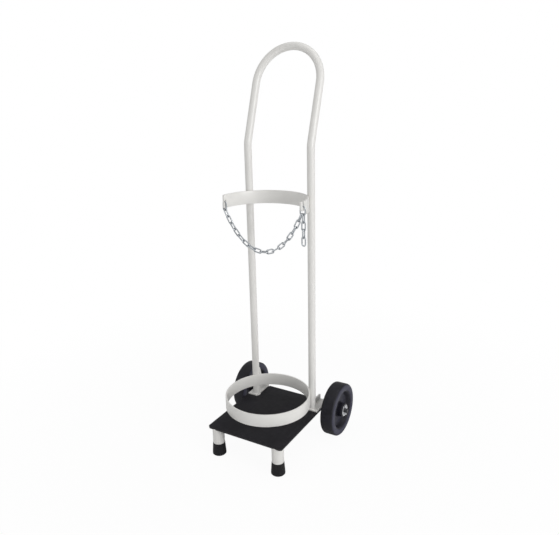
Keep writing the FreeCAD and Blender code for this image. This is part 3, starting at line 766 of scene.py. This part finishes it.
class TROLLEY_OT_stage(TrolleyOperator, bpy.types.Operator):
    """Floor, lamps, world and the camera at the viewing angle"""

    bl_idname = "trolley.stage"
    bl_label = "Set Stage"

    def execute(self, context):
        studio = context.scene.trolley_studio
        self.floor(studio)
        self.world(context, studio)
        for name, values in LAMPS.items():
            self.lamp(context, name, *values)
        self.camera(context, studio)
        context.scene.view_settings.view_transform = "Standard"
        return {"FINISHED"}

    def floor(self, studio):
        deselect()
        bpy.ops.mesh.primitive_plane_add(size=studio.floor_size, location=(0, 0, 0))
        floor = bpy.context.active_object
        floor.name = "studio_floor"
        bpy.ops.object.mode_set(mode="EDIT")
        bpy.ops.mesh.subdivide(number_cuts=3)
        bpy.ops.object.mode_set(mode="OBJECT")
        floor.data.materials.append(floor_finish(studio.shadow_share, studio.shadow_reach))

    def world(self, context, studio):
        """Even fill light that the camera sees as plain white."""
        world = bpy.data.worlds.new("Studio")
        context.scene.world = world
        world.use_nodes = True
        nodes, links = world.node_tree.nodes, world.node_tree.links
        fill = nodes["Background"]
        fill.inputs["Color"].default_value = (1.0, 1.0, 1.0, 1.0)
        fill.inputs["Strength"].default_value = studio.fill_strength
        white = nodes.new("ShaderNodeBackground")
        white.inputs["Color"].default_value = (1.0, 1.0, 1.0, 1.0)
        path = nodes.new("ShaderNodeLightPath")
        seen = nodes.new("ShaderNodeMath")
        seen.operation = "MAXIMUM"
        links.new(path.outputs["Is Camera Ray"], seen.inputs[0])
        links.new(path.outputs["Is Transmission Ray"], seen.inputs[1])
        mix = nodes.new("ShaderNodeMixShader")
        links.new(seen.outputs["Value"], mix.inputs["Fac"])
        links.new(fill.outputs["Background"], mix.inputs[1])
        links.new(white.outputs["Background"], mix.inputs[2])
        links.new(mix.outputs["Shader"], nodes["World Output"].inputs["Surface"])

    def lamp(self, context, name, place, aim, size, power):
        """A square soft lamp that points from its place to its aim."""
        light = bpy.data.lights.new(name, "AREA")
        light.shape = "RECTANGLE"
        light.size, light.size_y = size
        light.energy = power
        lamp = bpy.data.objects.new(name, light)
        context.scene.collection.objects.link(lamp)
        lamp.location = place
        lamp.rotation_euler = (Vector(aim) - Vector(place)).to_track_quat("-Z", "Y").to_euler()

    def camera(self, context, studio):
        """The viewing angle, from its turn about Z, its tip downwards and its roll."""
        turn, tip, roll = studio.azimuth, studio.pitch, studio.roll
        level = Vector((-math.sin(turn), math.cos(turn), 0))
        forward = level * math.cos(tip) - Vector((0, 0, math.sin(tip)))
        right = Vector((math.cos(turn), math.sin(turn), 0))
        upward = right.cross(forward)
        rolled_right = right * math.cos(roll) + upward * math.sin(roll)
        rolled_up = upward * math.cos(roll) - right * math.sin(roll)
        data = bpy.data.cameras.new("camera")
        data.sensor_fit = "HORIZONTAL"
        data.sensor_width = 36.0
        data.lens = studio.focal_pixels / PICTURE_WIDTH * data.sensor_width
        camera = bpy.data.objects.new("camera", data)
        context.scene.collection.objects.link(camera)
        axes = Matrix((rolled_right, rolled_up, -forward)).transposed()
        camera.matrix_world = Matrix.Translation(studio.camera_place) @ axes.to_4x4()
        context.scene.camera = camera


# Settings and panel


def colour_setting(name, description, default):
    return FloatVectorProperty(
        name=name,
        description=description,
        subtype="COLOR",
        size=3,
        min=0.0,
        max=1.0,
        default=default,
    )


def length_setting(name, description, default, low, high):
    return FloatProperty(
        name=name,
        description=description,
        default=default,
        min=low,
        max=high,
        subtype="DISTANCE",
        unit="LENGTH",
    )


def angle_setting(name, description, degrees):
    return FloatProperty(
        name=name,
        description=description,
        default=math.radians(degrees),
        subtype="ANGLE",
        unit="ROTATION",
    )


class TrolleyLooks(bpy.types.PropertyGroup):
    """Colours and small sizes of the trolley's finishes."""

    paint_colour: colour_setting("Paint", "Powder coat of the frame", (0.80, 0.79, 0.765))
    plate_colour: colour_setting("Plate", "Paint of the base plate", (0.006, 0.006, 0.007))
    mat_colour: colour_setting("Mat", "Rubber of the mat", (0.008, 0.0075, 0.0105))
    foot_colour: colour_setting("Feet", "Rubber of the feet", (0.004, 0.004, 0.0055))
    tyre_colour: colour_setting("Tyre", "Rubber of the tyres", (0.0075, 0.0075, 0.0125))
    wheel_colour: colour_setting("Wheel", "Plastic of the wheel centres", (0.011, 0.011, 0.017))
    bush_colour: colour_setting("Bush", "Nylon of the wheel bushes", (0.55, 0.54, 0.50))
    chain_colour: colour_setting("Chain", "Zinc of the chain", (0.60, 0.63, 0.66))
    hardware_colour: colour_setting("Hardware", "Zinc of washers and pins", (0.74, 0.75, 0.77))
    axle_colour: colour_setting("Axle", "Steel of the axle", (0.07, 0.07, 0.075))
    edge_rounding: length_setting(
        "Edge rounding", "Width of the softened edge on bar and plate", 1.0 * MM, 0.0, 2.0 * MM
    )
    bead_width: length_setting(
        "Bead width", "Width of a weld bead", 4.6 * MM, 1.0 * MM, 8.0 * MM
    )
    bead_step: length_setting(
        "Bead step", "From one ripple of a weld to the next", 1.8 * MM, 0.5 * MM, 4.0 * MM
    )


class TrolleyStudio(bpy.types.PropertyGroup):
    """Camera and light."""

    azimuth: angle_setting("Azimuth", "Camera's turn about Z", 30.62)
    pitch: angle_setting("Pitch", "How far the camera looks down", 17.05)
    roll: angle_setting("Roll", "Camera's roll", -1.26)
    focal_pixels: FloatProperty(
        name="Focal length", description="Focal length in picture pixels", default=585.3
    )
    camera_place: FloatVectorProperty(
        name="Camera place",
        description="Where the camera stands",
        subtype="TRANSLATION",
        unit="LENGTH",
        default=(0.77255, -1.26991, 0.96202),
    )
    floor_size: length_setting("Floor size", "Side of the square floor", 14.0, 2.0, 50.0)
    fill_strength: FloatProperty(
        name="Fill", description="Even light from all round", default=0.43, min=0.0
    )
    shadow_share: FloatProperty(
        name="Shadow share",
        description="How much of the floor's own light the camera sees",
        default=0.05,
        subtype="FACTOR",
        min=0.0,
        max=1.0,
    )
    shadow_reach: length_setting("Shadow reach", "Where the floor is plain white", 1.3, 0.5, 7.0)


STEPS = (
    TROLLEY_OT_frame_paint,
    TROLLEY_OT_base,
    TROLLEY_OT_feet,
    TROLLEY_OT_wheels,
    TROLLEY_OT_axle,
    TROLLEY_OT_chain,
    TROLLEY_OT_weld_beads,
    TROLLEY_OT_stage,
)


class TROLLEY_PT_panel(bpy.types.Panel):
    """The trolley's steps and settings in the sidebar"""

    bl_label = "Gas Bottle Trolley"
    bl_space_type = "VIEW_3D"
    bl_region_type = "UI"
    bl_category = "Trolley"

    def draw(self, context):
        layout = self.layout
        for step in STEPS:
            layout.operator(step.bl_idname)
        for settings in (context.scene.trolley_looks, context.scene.trolley_studio):
            box = layout.box()
            for name in settings.__annotations__:
                box.prop(settings, name)


CLASSES = (TrolleyLooks, TrolleyStudio, *STEPS, TROLLEY_PT_panel)


def register():
    for item in CLASSES:
        bpy.utils.register_class(item)
    bpy.types.Scene.trolley_looks = PointerProperty(type=TrolleyLooks)
    bpy.types.Scene.trolley_studio = PointerProperty(type=TrolleyStudio)


def unregister():
    del bpy.types.Scene.trolley_studio
    del bpy.types.Scene.trolley_looks
    for item in reversed(CLASSES):
        bpy.utils.unregister_class(item)


def main():
    register()
    bpy.ops.trolley.frame_paint()
    bpy.ops.trolley.base()
    bpy.ops.trolley.feet()
    bpy.ops.trolley.wheels()
    bpy.ops.trolley.axle()
    bpy.ops.trolley.chain()
    bpy.ops.trolley.weld_beads()
    bpy.ops.trolley.stage()


if __name__ == "__main__":
    main()
